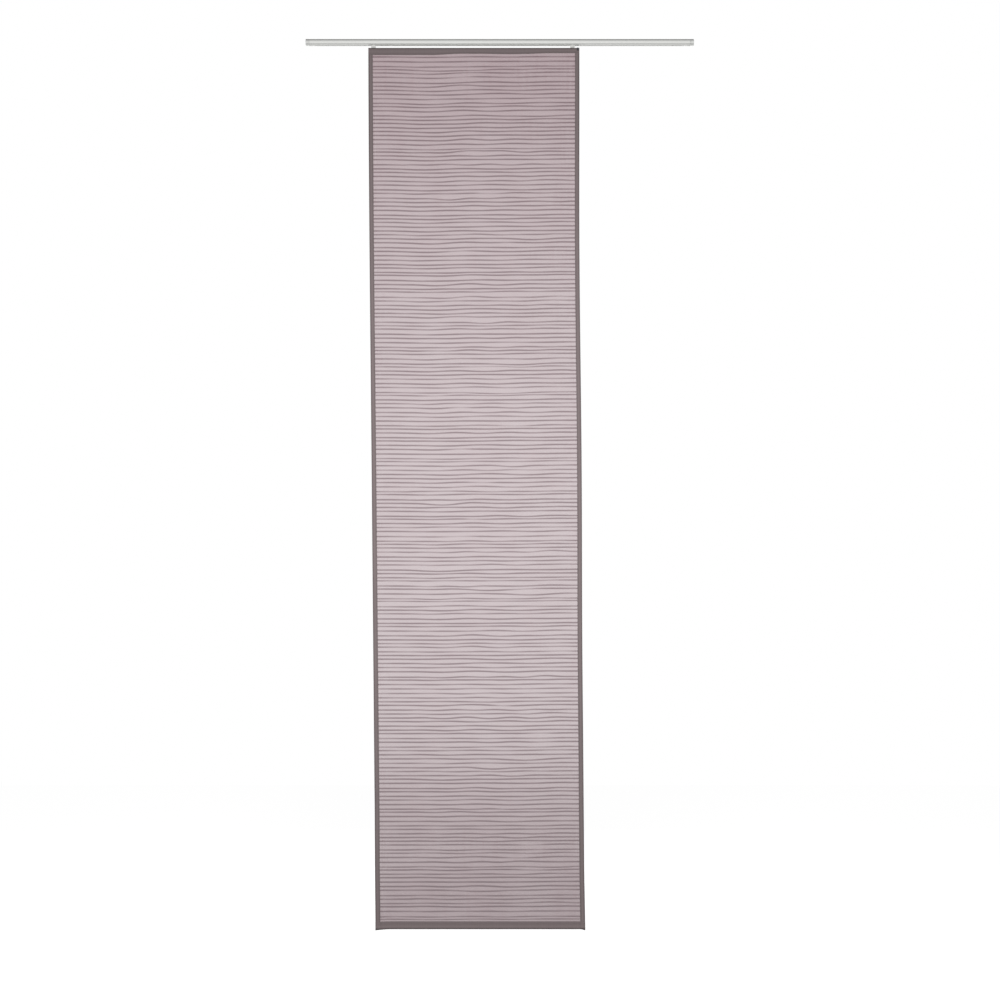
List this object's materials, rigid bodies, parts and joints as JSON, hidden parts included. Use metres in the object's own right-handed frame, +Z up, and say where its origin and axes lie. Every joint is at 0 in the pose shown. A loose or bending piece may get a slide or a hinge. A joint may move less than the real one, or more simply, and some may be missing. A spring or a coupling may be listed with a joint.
{
  "type": "sliding panel curtain",
  "caption": "Sheer ribbed cloth panel that slides on gliders along a slotted round ceiling rail, with a weight bar in its bottom pocket.",
  "frame": {"origin": "middle of the rail's flat top face, where the rail lies against the ceiling", "axes": "+X along the rail to the right, +Y away from the room, +Z up"},
  "size_m": [1.0906, 0.019, 2.5038],
  "materials": {
    "aluminium": "satin anodised",
    "grey_plastic": "fine satin",
    "dark_plastic": "matte",
    "white_plastic": "satin",
    "screw_steel": "turned",
    "painted_bar": "white lacquer",
    "hook_tape": "woven with moulded hooks",
    "loop_tape": "brushed loops",
    "sheer_cloth": "sheer weave with fine wavy ribs"
  },
  "bodies": {
    "track": {"rail": "aluminium", "end_cap_left": "grey_plastic", "end_cap_right": "grey_plastic", "end_stop_left": "white_plastic", "end_stop_right": "white_plastic", "stop_screw_left": "screw_steel", "stop_screw_right": "screw_steel"},
    "panel": {"glider_left": "white_plastic", "glider_right": "white_plastic", "panel_carrier": "aluminium", "carrier_cap_left": "dark_plastic", "carrier_cap_right": "dark_plastic", "hook_tape": "hook_tape", "loop_tape": "loop_tape", "panel_cloth": "sheer_cloth", "weight_bar": "painted_bar", "bar_cap_left": "white_plastic", "bar_cap_right": "white_plastic"}
  },
  "joints": [
    {"name": "panel_slide", "type": "slide", "parent": "track", "child": "panel", "axis": [1, 0, 0], "range_m": [-0.1524, 0.3029]}
  ]
}
